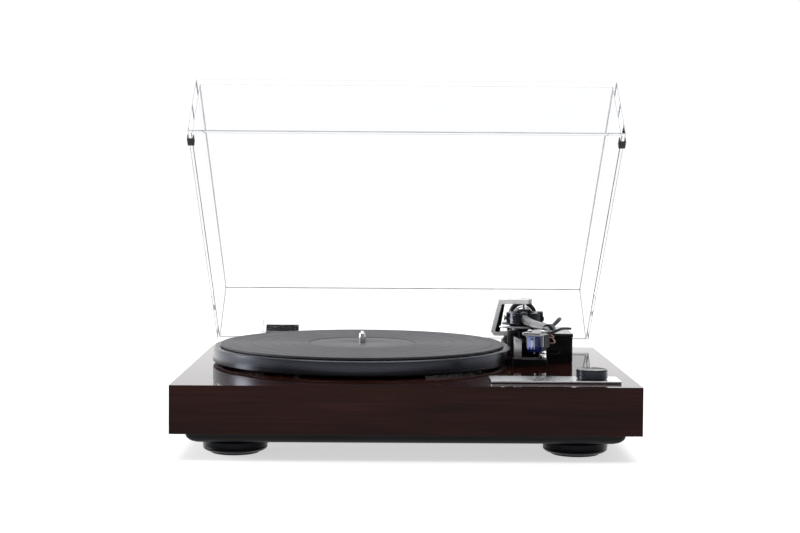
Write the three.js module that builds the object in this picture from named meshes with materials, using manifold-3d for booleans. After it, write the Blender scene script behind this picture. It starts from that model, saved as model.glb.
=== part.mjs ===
// A belt-driven record player: a lacquered wood plinth on four damped feet, a heavy
// platter with a rubber mat, an S-shaped tonearm with a cueing lever, and a clear
// dust cover held open on two friction hinges.
// Millimetres, +Z up, X to the right, Y to the back. Inside the deck group the origin
// is the middle of the plinth's top front edge.
import * as THREE from 'three';
import { mergeVertices } from 'three/addons/utils/BufferGeometryUtils.js';
import Module from 'manifold-3d';

const wasm = await Module();
wasm.setup();

// ---------------------------------------------------------------- driving dimensions
const GAP = 0.3; // clearance between pieces that touch
const WELD = 1e-4; // distance under which two vertices are one
const ROUND = 28; // sides of an ordinary round part
const SMALL_ROUND = 14; // sides of a small round part
const CORNER_STEPS = 4; // steps round an outline's curved corner

const PLINTH = { width: 419, depth: 349, height: 43.5, wall: 18, top: 15 };
const TRAY = { inset: 10, taper: 6, height: 9.7 };
const FOOT = { radius: 29.6, height: 13.5, x: 155.6, inset: 52 };
const PLATE = { left: 76.5, right: 193.8, front: 25, back: 62, thickness: 2.1 };
const KNOB = { x: 169.3, y: 43.6, radius: 14.2, height: 8.8 };

const SPINDLE = { x: -42.4, y: 192.5, radius: 3.5, tip: 31.3, bottom: -19 };
const PLATTER = { radius: 148.5, top: 16.9, web: 12.7, skirtBottom: 2.6, skirt: 7 };
const MAT = { radius: 141, top: 19.7, labelRadius: 52.5, labelDepth: 0.5 };
const DRIVE = { radius: 62, bottom: 3, top: 12.3 };
const PULLEY = { radius: 6.9, distance: 110, angle: 135 };
const BELT = { thickness: 0.7, bottom: 5.4, top: 9.6 };
const MOTOR = { radius: 25, top: -15.3, bottom: -38.5 };

const COVER = {
  width: 411.5, depth: 337, height: 71.3, wall: 3.6, lift: 2.5, open: 40.8,
  sideLean: 2, frontLean: 4,
};
const BUMPER = { front: 22, back: 31, lip: 1.4 };
const HINGE = { x: 134, y: 358.5, z: -5.4, width: 36, barrel: 4.2, pin: 2 };

const ARM = { x: 128.6, y: 296, z: 36.5, reach: 219, rest: 2.24, offset: 22, tube: 4.5 };
const SHELL = { back: 45, front: 57.5, shoulder: 15, z: 40.2, width: 17.5 };
const WEIGHT = { radius: 15.5, front: 29.3, back: 44.5 };
const RING = { radius: 19, hub: 5, bore: 12.6, floor: 27, top: 42.5, bossTop: 45.6, flange: 23.5 };
const SCREW = 2; // radius of the pivot screw and of the bearing pins
const PEDESTAL = { radius: 24.5, height: 17.5, capRadius: 12, capTop: 26.6 };
const BRIDGE = {
  left: 92.6, right: 136.2, bottom: 17.8, top: 57, bar: 5.2, depth: 14, leg: 10, lean: 8.5,
  foot: 23.4,
};
const CUE_BOX = { left: 138.2, right: 169.3, front: 190, back: 270, top: 29.5 };
const CUE = { x: 115, y: 265, radius: 6.3, top: 26.2, arcRadius: 34, arcTop: 29.8 };
const LEVER = { x: 145.7, y: 205, z: 24, hub: 6, rod: 1.9, tipX: 158, tipZ: 44.5 };
const REST = { left: 107.2, right: 140.5, front: 160, back: 184, top: 6.6, saddle: 33 };
const CLIP = { x: 141, y: 177.8, z: 28, pin: 1, rise: 16.8, reach: 13, open: 180 };
const SKATE = { x: 158, y: 316, radius: 10.5, skirt: 4, top: 12.5 };
const PANEL = { left: 0, right: 112, bottom: -38, top: -9, thickness: 2 };

const standHeight = PLINTH.height + GAP + TRAY.height + GAP + FOOT.height;
const halfWidth = PLINTH.width / 2;
const openAngle = THREE.MathUtils.degToRad(COVER.open);
const coverTop = COVER.lift + COVER.height;
const overallDepth = HINGE.y - (HINGE.y - PLINTH.depth) * Math.cos(openAngle)
  + (coverTop - HINGE.z) * Math.sin(openAngle);

// ---------------------------------------------------------------- finishes
function finish(color, roughness, metalness, opacity = 1) {
  return () => new THREE.MeshStandardMaterial({
    color, roughness, metalness, opacity, transparent: opacity < 1,
  });
}
const lacqueredWood = finish(0x3a1c17, 0.12, 0);
const blackPlastic = finish(0x16161a, 0.45, 0);
const glossBlack = finish(0x0d0d10, 0.12, 0.1);
const rubber = finish(0x1c1c1e, 0.85, 0);
const matRubber = finish(0x4a4a4e, 0.8, 0);
const blackMetal = finish(0x26262b, 0.38, 0.8);
const steel = finish(0xb9bbc0, 0.3, 1);
const chrome = finish(0xe3e4e8, 0.08, 1);
const aluminium = finish(0xb4b6bc, 0.35, 0.95);
const brass = finish(0xb08d57, 0.3, 1);
const acrylic = finish(0xf2f6ff, 0.03, 0, 0.2);
const bluePlastic = finish(0x1c3c9a, 0.2, 0);
const boardGreen = finish(0x1d4a2c, 0.5, 0);

// ---------------------------------------------------------------- shapes
// One closed skin: shared vertices merged, collapsed triangles dropped.
function welded(geometry) {
  const bare = geometry.clone();
  bare.deleteAttribute('normal');
  bare.deleteAttribute('uv');
  const merged = mergeVertices(bare, WELD);
  const index = merged.index.array;
  const kept = [];
  for (let i = 0; i < index.length; i += 3) {
    const [a, b, c] = [index[i], index[i + 1], index[i + 2]];
    if (a !== b && b !== c && c !== a) kept.push(a, b, c);
  }
  merged.setIndex(kept);
  return merged;
}

function toSolid(geometry) {
  const skin = welded(geometry);
  return new wasm.Manifold(new wasm.Mesh({
    numProp: 3,
    vertProperties: new Float32Array(skin.attributes.position.array),
    triVerts: new Uint32Array(skin.index.array),
  }));
}

function toGeometry(solid) {
  const mesh = solid.getMesh();
  const geometry = new THREE.BufferGeometry();
  geometry.setAttribute('position', new THREE.BufferAttribute(mesh.vertProperties, 3));
  geometry.setIndex(new THREE.BufferAttribute(mesh.triVerts, 1));
  return geometry;
}

function join(first, ...others) {
  return toGeometry(others.reduce((sum, other) => sum.add(toSolid(other)), toSolid(first)));
}

function cut(body, ...tools) {
  return toGeometry(tools.reduce((rest, tool) => rest.subtract(toSolid(tool)), toSolid(body)));
}

function block([x0, x1], [y0, y1], [z0, z1]) {
  const box = new THREE.BoxGeometry(x1 - x0, y1 - y0, z1 - z0);
  return box.translate((x0 + x1) / 2, (y0 + y1) / 2, (z0 + z1) / 2);
}

// A profile of [radius, height] points turned round the Z axis.
function turned(profile, sides = ROUND) {
  const points = profile.map(([radius, height]) => new THREE.Vector2(radius, height));
  return welded(new THREE.LatheGeometry(points, sides).rotateX(Math.PI / 2));
}

function rod(radius, [z0, z1], sides = SMALL_ROUND) {
  return turned([[0, z0], [radius, z0], [radius, z1], [0, z1]], sides);
}

function ring(inner, outer, [z0, z1], sides = ROUND) {
  return turned([[inner, z0], [outer, z0], [outer, z1], [inner, z1], [inner, z0]], sides);
}

// The same round parts lying along X or along Y.
const alongX = (geometry) => geometry.rotateY(Math.PI / 2);
const alongY = (geometry) => geometry.rotateX(-Math.PI / 2);

function extruded(outline, [z0, z1]) {
  const solid = new THREE.ExtrudeGeometry(outline, {
    depth: z1 - z0, bevelEnabled: false, curveSegments: CORNER_STEPS,
  });
  return solid.translate(0, 0, z0);
}

// An outline of [x, z] points standing upright, running from y0 to y1.
function upright(points, [y0, y1]) {
  const outline = new THREE.Shape(points.map(([x, z]) => new THREE.Vector2(x, z)));
  const solid = new THREE.ExtrudeGeometry(outline, { depth: y1 - y0, bevelEnabled: false });
  return solid.rotateX(Math.PI / 2).translate(0, y1, 0);
}

function roundedRectangle([x0, x1], [y0, y1], radius) {
  const outline = new THREE.Shape();
  outline.absarc(x1 - radius, y0 + radius, radius, -Math.PI / 2, 0);
  outline.absarc(x1 - radius, y1 - radius, radius, 0, Math.PI / 2);
  outline.absarc(x0 + radius, y1 - radius, radius, Math.PI / 2, Math.PI);
  outline.absarc(x0 + radius, y0 + radius, radius, Math.PI, Math.PI * 1.5);
  return outline;
}

// ---------------------------------------------------------------- assembly
const deck = new THREE.Group();
deck.position.set(0, -overallDepth / 2, standHeight);

function add(parent, name, geometry, material, position = [0, 0, 0]) {
  const skin = geometry.index ? geometry.toNonIndexed() : geometry;
  skin.computeVertexNormals();
  const mesh = new THREE.Mesh(skin, material());
  mesh.name = name;
  mesh.position.set(...position);
  parent.add(mesh);
  return mesh;
}

function group(parent, position, rotation = [0, 0, 0]) {
  const holder = new THREE.Group();
  holder.position.set(...position);
  holder.rotation.set(...rotation);
  parent.add(holder);
  return holder;
}

const corners = [
  ['front_left', -1, FOOT.inset],
  ['front_right', 1, FOOT.inset],
  ['rear_left', -1, PLINTH.depth - FOOT.inset],
  ['rear_right', 1, PLINTH.depth - FOOT.inset],
];
const sides = [['left', -1], ['right', 1]];
const motorAngle = THREE.MathUtils.degToRad(PULLEY.angle);
const motorPlace = [
  SPINDLE.x + PULLEY.distance * Math.cos(motorAngle),
  SPINDLE.y + PULLEY.distance * Math.sin(motorAngle),
  0,
];

// ---- plinth, tray and feet
function plinth() {
  const cavity = block(
    [PLINTH.wall - halfWidth, halfWidth - PLINTH.wall],
    [PLINTH.wall, PLINTH.depth - PLINTH.wall],
    [-PLINTH.height - 1, -PLINTH.top],
  );
  const through = [-PLINTH.top - 1, 1];
  const bearingHole = rod(10.6, through, ROUND).translate(SPINDLE.x, SPINDLE.y, 0);
  const motorHole = rod(9, through).translate(...motorPlace);
  const switchHole = rod(5, through).translate(KNOB.x, KNOB.y, 0);
  const armHole = rod(7, through).translate(ARM.x, ARM.y, 0);
  const panelHole = block(
    [PANEL.left + 5, PANEL.right - 5],
    [PLINTH.depth - PLINTH.wall - 1, PLINTH.depth + 1],
    [PANEL.bottom + 4, PANEL.top - 4],
  );
  const body = block([-halfWidth, halfWidth], [0, PLINTH.depth], [-PLINTH.height, 0]);
  return cut(body, cavity, bearingHole, motorHole, switchHole, armHole, panelHole);
}

function baseTray() {
  const width = PLINTH.width - 2 * TRAY.inset;
  const depth = PLINTH.depth - 2 * TRAY.inset;
  const tray = new THREE.BoxGeometry(width, depth, TRAY.height);
  const vertices = tray.attributes.position;
  for (let i = 0; i < vertices.count; i += 1) {
    if (vertices.getZ(i) < 0) {
      vertices.setX(i, vertices.getX(i) * (1 - (2 * TRAY.taper) / width));
      vertices.setY(i, vertices.getY(i) * (1 - (2 * TRAY.taper) / depth));
    }
  }
  return tray.translate(0, PLINTH.depth / 2, -PLINTH.height - GAP - TRAY.height / 2);
}

const trayBottom = -PLINTH.height - GAP - TRAY.height;
function foot() {
  const top = trayBottom - GAP;
  const bottom = top - FOOT.height;
  const groove = FOOT.radius - 1.6;
  const pad = FOOT.radius - 6.5;
  return turned([
    [0, bottom], [pad - 1.5, bottom], [pad, bottom + 1.2], [pad, bottom + 2.6],
    [FOOT.radius - 3.5, bottom + 3], [FOOT.radius - 0.8, bottom + 5],
    [FOOT.radius, bottom + 6.6], [groove, bottom + 7.2], [groove, bottom + 8.6],
    [FOOT.radius, bottom + 9.2], [FOOT.radius, top], [0, top],
  ]);
}

add(deck, 'plinth', plinth(), lacqueredWood);
add(deck, 'base_tray', baseTray(), blackPlastic);
for (const [corner, side, y] of corners) {
  add(deck, `foot_${corner}`, foot(), rubber, [side * FOOT.x, y, 0]);
}

// ---- control plate, speed switch and knob
const plateTop = GAP + PLATE.thickness;
function controlPlate() {
  const outline = roundedRectangle([PLATE.left, PLATE.right], [PLATE.front, PLATE.back], 1);
  const hole = rod(4.2, [-1, 4]).translate(KNOB.x, KNOB.y, 0);
  return cut(extruded(outline, [GAP, plateTop]), hole);
}

function speedSwitch() {
  const top = -PLINTH.top - GAP;
  const can = block([-9, 9], [-9, 9], [top - 14, top]);
  return join(can, rod(4, [top - 1, plateTop - 0.6]));
}

function speedKnob() {
  const bottom = plateTop + GAP;
  const top = bottom + KNOB.height;
  const body = turned([
    [0, bottom], [KNOB.radius - 0.6, bottom], [KNOB.radius, bottom + 0.6],
    [KNOB.radius, top - 0.7], [KNOB.radius - 0.7, top], [0, top],
  ]);
  const pointer = block([-0.5, 0.5], [KNOB.radius - 5, KNOB.radius - 1.5], [top - 0.4, top + 1]);
  return cut(body, pointer);
}

add(deck, 'control_plate', controlPlate(), blackMetal);
add(deck, 'speed_switch', speedSwitch(), steel, [KNOB.x, KNOB.y, 0]);
add(deck, 'speed_knob', speedKnob(), blackMetal, [KNOB.x, KNOB.y, 0]);

// ---- main bearing, platter and belt drive
const turntable = group(deck, [SPINDLE.x, SPINDLE.y, 0]);

function bearingWell() {
  const floor = SPINDLE.bottom - 9;
  return turned([
    [0, floor], [10.2, floor], [10.2, GAP], [20, GAP], [20, 2.2],
    [SPINDLE.radius + 0.1, 2.2], [SPINDLE.radius + 0.1, floor + 3], [0, floor + 3],
  ]);
}

function spindleShaft() {
  return turned([
    [0, SPINDLE.bottom], [SPINDLE.radius, SPINDLE.bottom], [SPINDLE.radius, SPINDLE.tip - 6],
    [SPINDLE.radius - 0.6, SPINDLE.tip - 3], [1.2, SPINDLE.tip - 0.4], [0, SPINDLE.tip],
  ], 20);
}

function driveRing() {
  const groove = [BELT.bottom - 0.6, BELT.top + 0.6];
  return turned([
    [SPINDLE.radius + GAP, DRIVE.bottom], [DRIVE.radius + 1.5, DRIVE.bottom],
    [DRIVE.radius + 1.5, groove[0]], [DRIVE.radius, groove[0]], [DRIVE.radius, groove[1]],
    [DRIVE.radius + 1.5, groove[1]], [DRIVE.radius + 1.5, DRIVE.top],
    [SPINDLE.radius + GAP, DRIVE.top], [SPINDLE.radius + GAP, DRIVE.bottom],
  ], 40);
}

function platter() {
  const bore = SPINDLE.radius + GAP;
  const skirtInner = PLATTER.radius - PLATTER.skirt;
  return turned([
    [bore, PLATTER.web], [skirtInner, PLATTER.web], [skirtInner, PLATTER.skirtBottom],
    [PLATTER.radius - 0.8, PLATTER.skirtBottom], [PLATTER.radius, PLATTER.skirtBottom + 0.8],
    [PLATTER.radius, PLATTER.top - 1], [PLATTER.radius - 1, PLATTER.top],
    [bore, PLATTER.top], [bore, PLATTER.web],
  ], 60);
}

function slipMat() {
  const bore = SPINDLE.radius + GAP;
  const bottom = PLATTER.top + GAP;
  return turned([
    [bore, bottom], [MAT.radius, bottom], [MAT.radius, MAT.top - 0.4],
    [MAT.radius - 0.4, MAT.top], [MAT.labelRadius + 0.5, MAT.top],
    [MAT.labelRadius, MAT.top - MAT.labelDepth], [bore, MAT.top - MAT.labelDepth],
    [bore, bottom],
  ], 48);
}

function motorPulley() {
  const lip = PULLEY.radius + 1.2;
  return turned([
    [0, MOTOR.top + GAP], [1.5, MOTOR.top + GAP], [1.5, 2.4], [lip, 2.4],
    [lip, BELT.bottom - 0.6], [PULLEY.radius, BELT.bottom - 0.2],
    [PULLEY.radius, BELT.top + 0.2], [lip, BELT.top + 0.6], [lip, DRIVE.top - 0.4],
    [0, DRIVE.top - 0.4],
  ], 20);
}

// The belt's outline round both wheels, with the spindle at the origin and the motor on +X.
function beltOutline(clearance) {
  const large = DRIVE.radius + clearance;
  const small = PULLEY.radius + clearance;
  const tangent = Math.acos((large - small) / PULLEY.distance);
  const outline = new THREE.Path();
  outline.absarc(0, 0, large, tangent, 2 * Math.PI - tangent);
  outline.absarc(PULLEY.distance, 0, small, -tangent, tangent);
  return outline;
}

function driveBelt() {
  const points = (clearance) => beltOutline(clearance).getPoints(14);
  const outline = new THREE.Shape(points(GAP + BELT.thickness));
  outline.holes.push(new THREE.Path(points(GAP)));
  return extruded(outline, [BELT.bottom, BELT.top]).rotateZ(motorAngle);
}

add(turntable, 'bearing_well', bearingWell(), brass);
add(turntable, 'thrust_ball', new THREE.SphereGeometry(2.4, 12, 8), steel,
  [0, 0, SPINDLE.bottom - 2.8]);
add(turntable, 'spindle', spindleShaft(), steel);
add(turntable, 'drive_ring', driveRing(), blackPlastic);
add(turntable, 'platter', platter(), blackMetal);
add(turntable, 'slip_mat', slipMat(), matRubber);
add(turntable, 'drive_belt', driveBelt(), rubber);
add(deck, 'motor_pulley', motorPulley(), brass, motorPlace);
add(deck, 'motor', rod(MOTOR.radius, [MOTOR.bottom, MOTOR.top], ROUND), steel, motorPlace);

// ---- rear connectors and electronics
const panelFace = PLINTH.depth + GAP + PANEL.thickness;
const jackHeight = -23.5;
const jackPlaces = [['left', 14], ['right', 32]];
const groundX = 48;
const sliderX = 68;
const powerX = 94;

function rearPanel() {
  const plate = block([PANEL.left, PANEL.right], [PLINTH.depth + GAP, panelFace],
    [PANEL.bottom, PANEL.top]);
  const across = [PLINTH.depth - 5, PLINTH.depth + 5];
  const holeAt = (x, radius) => alongY(rod(radius, [-5, 5])).translate(x, PLINTH.depth, jackHeight);
  const sliderSlot = block([sliderX - 6, sliderX + 6], across, [jackHeight - 2.6, jackHeight + 2.6]);
  const powerHole = block([powerX - 5, powerX + 5], across, [jackHeight - 6, jackHeight + 6]);
  const jackHoles = jackPlaces.map(([, x]) => holeAt(x, 4.5));
  return cut(plate, ...jackHoles, holeAt(groundX, 2.6), sliderSlot, powerHole);
}

function phonoJack() {
  const barrel = alongY(rod(4.1, [-9, 10.5]));
  const flange = alongY(rod(6, [PANEL.thickness + 2 * GAP, PANEL.thickness + 1.8]));
  const socket = alongY(rod(1.7, [2, 12]));
  return cut(join(barrel, flange), socket);
}

function groundTerminal() {
  const post = alongY(rod(2.2, [-6, 8]));
  return join(post, alongY(rod(5, [PANEL.thickness + 2 * GAP, 7], 12)));
}

function gainSlider() {
  const base = block([-9, 9], [-4, -GAP], [-4.5, 4.5]);
  return join(base, block([-5.6, -1.6], [-1, PANEL.thickness + 2], [-2.2, 2.2]));
}

function powerJack() {
  const shell = block([-4.7, 4.7], [-8, PANEL.thickness + 1.2], [-5.7, 5.7]);
  return cut(shell, alongY(rod(3.3, [-5, 5])));
}

function circuitBoard() {
  return block([8, 106], [285, 327], [-33, -31.4]);
}

add(deck, 'rear_panel', rearPanel(), blackPlastic);
for (const [side, x] of jackPlaces) {
  add(deck, `phono_jack_${side}`, phonoJack(), brass, [x, PLINTH.depth, jackHeight]);
}
add(deck, 'ground_terminal', groundTerminal(), steel, [groundX, PLINTH.depth, jackHeight]);
add(deck, 'gain_slider', gainSlider(), blackPlastic, [sliderX, PLINTH.depth, jackHeight]);
add(deck, 'power_jack', powerJack(), blackPlastic, [powerX, PLINTH.depth, jackHeight]);
add(deck, 'circuit_board', circuitBoard(), boardGreen);

// ---- cover hinges: brackets and pins on the plinth, leaves and clear sleeves on the cover
const halfHinge = HINGE.width / 2;
const lugWidth = 4;
const leafY = [350.6, 353.2];
const sleeveY = [PLINTH.depth + GAP, 354.6];

function hingeBracket() {
  const plate = block([-halfHinge, halfHinge], [PLINTH.depth + GAP, 351.6], [-36, -11.5]);
  const lugs = sides.map(([, side]) => block(
    [side * halfHinge - (side > 0 ? lugWidth : 0), side * halfHinge + (side < 0 ? lugWidth : 0)],
    [PLINTH.depth + GAP, HINGE.y + 4.5],
    [-20, HINGE.z + 4],
  ));
  const pinHole = alongX(rod(HINGE.pin + GAP, [-halfHinge - 1, halfHinge + 1]));
  return cut(join(plate, ...lugs), pinHole.translate(0, HINGE.y, HINGE.z));
}

function hingePin() {
  return alongX(rod(HINGE.pin, [-halfHinge, halfHinge])).translate(0, HINGE.y, HINGE.z);
}

function hingeLeaf() {
  const inner = halfHinge - lugWidth - GAP;
  const barrel = alongX(rod(HINGE.barrel, [-inner, inner])).translate(0, HINGE.y, HINGE.z);
  const arm = block([-inner, inner], [leafY[0], HINGE.y], [HINGE.z - 0.6, HINGE.z + 3.4]);
  const neck = block([-inner, inner], leafY, [HINGE.z - 0.6, 4]);
  const tongue = block([-halfHinge, halfHinge], leafY, [3, 22.5]);
  const pinHole = alongX(rod(HINGE.pin + GAP, [-halfHinge, halfHinge]));
  return cut(join(barrel, arm, neck, tongue), pinHole.translate(0, HINGE.y, HINGE.z));
}

function hingeSleeve() {
  const body = block([-22.2, 22.2], sleeveY, [11.9, 28.7]);
  const pocket = block([-halfHinge - GAP, halfHinge + GAP], [leafY[0] - GAP, leafY[1] + GAP],
    [10, 22.8]);
  return cut(body, pocket);
}

// A block whose sides and front lean inwards towards the top of the cover.
function leaning(x, y, z) {
  const solid = block(x, y, z);
  const points = solid.attributes.position;
  const front = (y[0] + y[1]) / 2;
  for (let i = 0; i < points.count; i += 1) {
    const rise = (points.getZ(i) - COVER.lift) / COVER.height;
    points.setX(i, points.getX(i) - Math.sign(points.getX(i)) * COVER.sideLean * rise);
    if (points.getY(i) < front) points.setY(i, points.getY(i) + COVER.frontLean * rise);
  }
  return solid;
}

function dustCover() {
  const halfCover = COVER.width / 2;
  const front = PLINTH.depth - COVER.depth;
  const shell = leaning([-halfCover, halfCover], [front, PLINTH.depth], [COVER.lift, coverTop]);
  const hollow = leaning(
    [COVER.wall - halfCover, halfCover - COVER.wall],
    [front + COVER.wall, PLINTH.depth - COVER.wall],
    [COVER.lift - 1, coverTop - COVER.wall],
  );
  return cut(shell, hollow);
}

function coverBumper() {
  const { front, back, lip } = BUMPER;
  const outer = COVER.width / 2 + lip;
  const inner = COVER.width / 2 - COVER.wall - lip;
  const body = block([inner, outer], [front, back], [0.4, 7]);
  const slot = block([inner + lip - GAP, outer - lip + GAP], [front - 1, back + 1],
    [COVER.lift - GAP, 8]);
  return cut(body, slot);
}

const leftBumper = coverBumper().rotateZ(Math.PI).translate(0, BUMPER.front + BUMPER.back, 0);
const cover = group(deck, [0, HINGE.y, HINGE.z], [-openAngle, 0, 0]);
// Pieces of the cover are drawn with it shut, then moved to turn about the hinge line.
const aboutHinge = (geometry) => geometry.translate(0, -HINGE.y, -HINGE.z);
for (const [name, side] of sides) {
  const x = side * HINGE.x;
  add(deck, `hinge_bracket_${name}`, hingeBracket(), blackPlastic, [x, 0, 0]);
  add(deck, `hinge_pin_${name}`, hingePin(), steel, [x, 0, 0]);
  add(cover, `hinge_leaf_${name}`, aboutHinge(hingeLeaf()), blackPlastic, [x, 0, 0]);
  add(cover, `hinge_sleeve_${name}`, aboutHinge(hingeSleeve()), acrylic, [x, 0, 0]);
  const bumper = side > 0 ? coverBumper() : leftBumper;
  add(cover, `cover_bumper_${name}`, aboutHinge(bumper), rubber);
}
add(cover, 'dust_cover', aboutHinge(dustCover()), acrylic);

// ---- tonearm base, bridge and bearing
const armStand = group(deck, [ARM.x, ARM.y, 0]);

function armPedestal() {
  const bore = RING.hub + GAP;
  return turned([
    [bore, GAP], [PEDESTAL.radius, GAP], [PEDESTAL.radius, PEDESTAL.height - 5],
    [PEDESTAL.radius - 4.5, PEDESTAL.height], [PEDESTAL.capRadius, PEDESTAL.height],
    [PEDESTAL.capRadius, PEDESTAL.capTop], [bore, PEDESTAL.capTop], [bore, GAP],
  ]);
}

// A leaning leg from a foot on the pedestal's shoulder to a bar over the bearing.
function armBridge() {
  const { left, right, bottom, top, bar, depth, leg, lean, foot } = BRIDGE;
  const arch = upright([
    [left + 3.5, bottom], [left + foot, bottom], [left + foot, bottom + 4.5],
    [left + leg, bottom + 4.5], [left + leg + 5, top - bar], [right, top - bar],
    [right, top], [left + lean, top], [left, bottom + 4.5],
  ], [ARM.y - depth / 2, ARM.y + depth / 2]);
  const screwHole = rod(SCREW + GAP, [top - 10, top + 1]).translate(ARM.x, ARM.y, 0);
  return cut(arch, screwHole);
}

function pivotScrew() {
  return join(rod(SCREW, [RING.bossTop + GAP, BRIDGE.top + 0.5]),
    rod(3.4, [BRIDGE.top + GAP, BRIDGE.top + 1]));
}

// The ring turns with the arm: a drum open to the front and back, with an arched boss under
// the pivot screw, a flange, a side block and a hub that goes down into the pedestal.
function gimbalRing() {
  const { radius, hub, bore, floor, top, bossTop, flange } = RING;
  const deckTop = floor + 1.6;
  const drum = [
    ring(bore, radius, [floor + 3.4, top]), rod(flange, [floor + 3, floor + 4.4], ROUND),
    rod(radius - 3, [floor, floor + 4], ROUND), rod(hub, [6, deckTop]),
    block([13, 19.8], [-7, 7], [24, top + 1]),
  ];
  const arch = upright([
    [-14, top], [-14, top - 3], [-12, top - 3], [-6.4, top - 1], [-4.8, top + 1.2],
    [4.8, top + 1.2], [6.4, top - 1], [12, top - 3], [14, top - 3], [14, top], [9.5, top],
    [6, bossTop], [-6, bossTop], [-9.5, top],
  ], [-4, 4]);
  const room = rod(bore, [deckTop, top], ROUND);
  const frontNotch = block([-6, 6], [-26, -bore + 1], [31, top + 1]);
  const rearNotch = block([-5.5, 5.5], [bore - 1, 26], [31, top + 1]);
  const rearGap = block([-5.5, 5.5], [12, 26], [26, 32]);
  const pinHole = alongX(rod(SCREW + GAP, [-25, 25])).translate(0, 0, ARM.z);
  return cut(join(cut(join(...drum), room), arch), frontNotch, rearNotch, rearGap, pinHole);
}

function bearingPin() {
  const shank = rod(SCREW, [4, 20.4]);
  return alongX(join(shank, rod(3.2, [20.2, 21.6]))).translate(0, 0, ARM.z);
}

add(armStand, 'arm_pedestal', armPedestal(), glossBlack);
add(deck, 'arm_bridge', armBridge(), chrome);
add(armStand, 'pivot_screw', pivotScrew(), blackMetal);

const arm = group(armStand, [0, 0, 0], [0, 0, THREE.MathUtils.degToRad(-ARM.rest)]);
add(arm, 'gimbal_ring', gimbalRing(), blackMetal);
add(arm, 'bearing_pin_right', bearingPin(), steel);
add(arm, 'bearing_pin_left', bearingPin().rotateZ(Math.PI), steel);

// ---- tonearm, drawn pointing to the front with its bearing at the origin
function armBlock() {
  const body = alongY(rod(5.8, [-8.5, 8.5], 20)).translate(0, 0, ARM.z);
  const sockets = sides.map(([, side]) => alongX(rod(SCREW + GAP, side > 0 ? [3.6, 7] : [-7, -3.6])));
  return cut(body, ...sockets.map((socket) => socket.translate(0, 0, ARM.z)));
}

const offsetAngle = THREE.MathUtils.degToRad(ARM.offset);
const shellStart = new THREE.Vector3(
  SHELL.back * Math.sin(offsetAngle), SHELL.back * Math.cos(offsetAngle) - ARM.reach, SHELL.z,
);
function armTube() {
  const lead = 15; // how far the tube's end runs on in the headshell's own direction
  const bend = new THREE.Vector3(Math.sin(offsetAngle), Math.cos(offsetAngle), 0);
  const path = new THREE.CubicBezierCurve3(
    new THREE.Vector3(0, -8.5 - GAP, ARM.z),
    new THREE.Vector3(0, -130, ARM.z + 1.5),
    shellStart.clone().addScaledVector(bend, lead),
    shellStart,
  );
  const section = new THREE.Shape().absarc(0, 0, ARM.tube, 0, 2 * Math.PI);
  return new THREE.ExtrudeGeometry(section, { steps: 22, curveSegments: 6, extrudePath: path });
}

function weightShaft() {
  return alongY(rod(3.2, [8.5 + GAP, 46])).translate(0, 0, ARM.z);
}

function forceDial() {
  return alongY(ring(3.2 + GAP, 11.2, [26, WEIGHT.front - GAP])).translate(0, 0, ARM.z);
}

function counterweight() {
  const { radius, front, back } = WEIGHT;
  const bore = 3.2 + GAP;
  const profile = turned([
    [bore, front], [radius - 1, front], [radius, front + 1], [radius, back - 1.2],
    [radius - 1.2, back], [bore, back], [bore, front],
  ]);
  return alongY(profile).translate(0, 0, ARM.z);
}

add(arm, 'arm_block', armBlock(), blackMetal);
add(arm, 'arm_tube', armTube(), aluminium);
add(arm, 'weight_shaft', weightShaft(), steel);
add(arm, 'force_dial', forceDial(), aluminium);
add(arm, 'counterweight', counterweight(), blackMetal);

// ---- headshell and cartridge, with the collar's mouth at the origin and the front on -Y
const shell = group(arm, shellStart.toArray(), [0, 0, -offsetAngle]);
const collarLength = 8;

function headshellCollar() {
  return alongY(rod(5.8, [-collarLength - GAP, -GAP], 20));
}

function headshell() {
  const back = -collarLength - 2 * GAP;
  const outline = roundedRectangle(
    [-SHELL.width / 2, SHELL.width / 2], [-SHELL.front, -SHELL.shoulder], 3,
  );
  const plate = extruded(outline, [-1.3, 1.4]);
  const neck = alongY(rod(4, [-17, back])).scale(1, 1, 0.9);
  const slots = sides.map(([, side]) => block([side * 6.35 - 1.4, side * 6.35 + 1.4], [-47, -36],
    [-3, 3]));
  return cut(join(plate, neck), ...slots);
}

// A bar that rises away from the headshell's side and narrows towards its tip.
function fingerLift() {
  const root = SHELL.width / 2 + GAP;
  const bar = upright([
    [root, -1], [root + 5, -0.6], [root + 10.5, 3.4], [root + 21, 4.4], [root + 21, 6],
    [root + 9.8, 5], [root + 4, 1], [root, 0.8],
  ], [-33, -19]);
  const middle = -26;
  const taper = sides.map(([, side]) => {
    const outline = new THREE.Shape([
      [root + 2, middle + side * 8], [root + 12, middle + side * 2.4],
      [root + 24, middle + side * 1.8], [root + 24, middle + side * 12],
      [root + 2, middle + side * 12],
    ].map(([x, y]) => new THREE.Vector2(x, y)));
    return extruded(outline, [-5, 10]);
  });
  return cut(bar, ...taper);
}

function cartridge() {
  const top = -1.3 - GAP;
  const body = block([-8.2, 8.2], [-42, -26], [-14, top]);
  return join(body, block([-6.6, 6.6], [-42, -30], [-17, -13]));
}

function stylusAssembly() {
  const tip = -19.4;
  const holder = new THREE.Shape([[-50.2, -1.7], [-50.2, -12.5], [-46.5, -17.4], [-42.3, -17.4],
    [-42.3, -1.7]].map(([y, z]) => new THREE.Vector2(y, z)));
  const wedge = extruded(holder, [-8, 8]).rotateX(Math.PI / 2).rotateZ(Math.PI / 2);
  const cantilever = rod(0.7, [tip, -16], 8).translate(0, -45, 0);
  return join(wedge, cantilever);
}

add(shell, 'headshell_collar', headshellCollar(), aluminium);
add(shell, 'headshell', headshell(), aluminium);
add(shell, 'finger_lift', fingerLift(), blackMetal);
add(shell, 'cartridge', cartridge(), blackPlastic);
add(shell, 'stylus_assembly', stylusAssembly(), bluePlastic);

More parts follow.
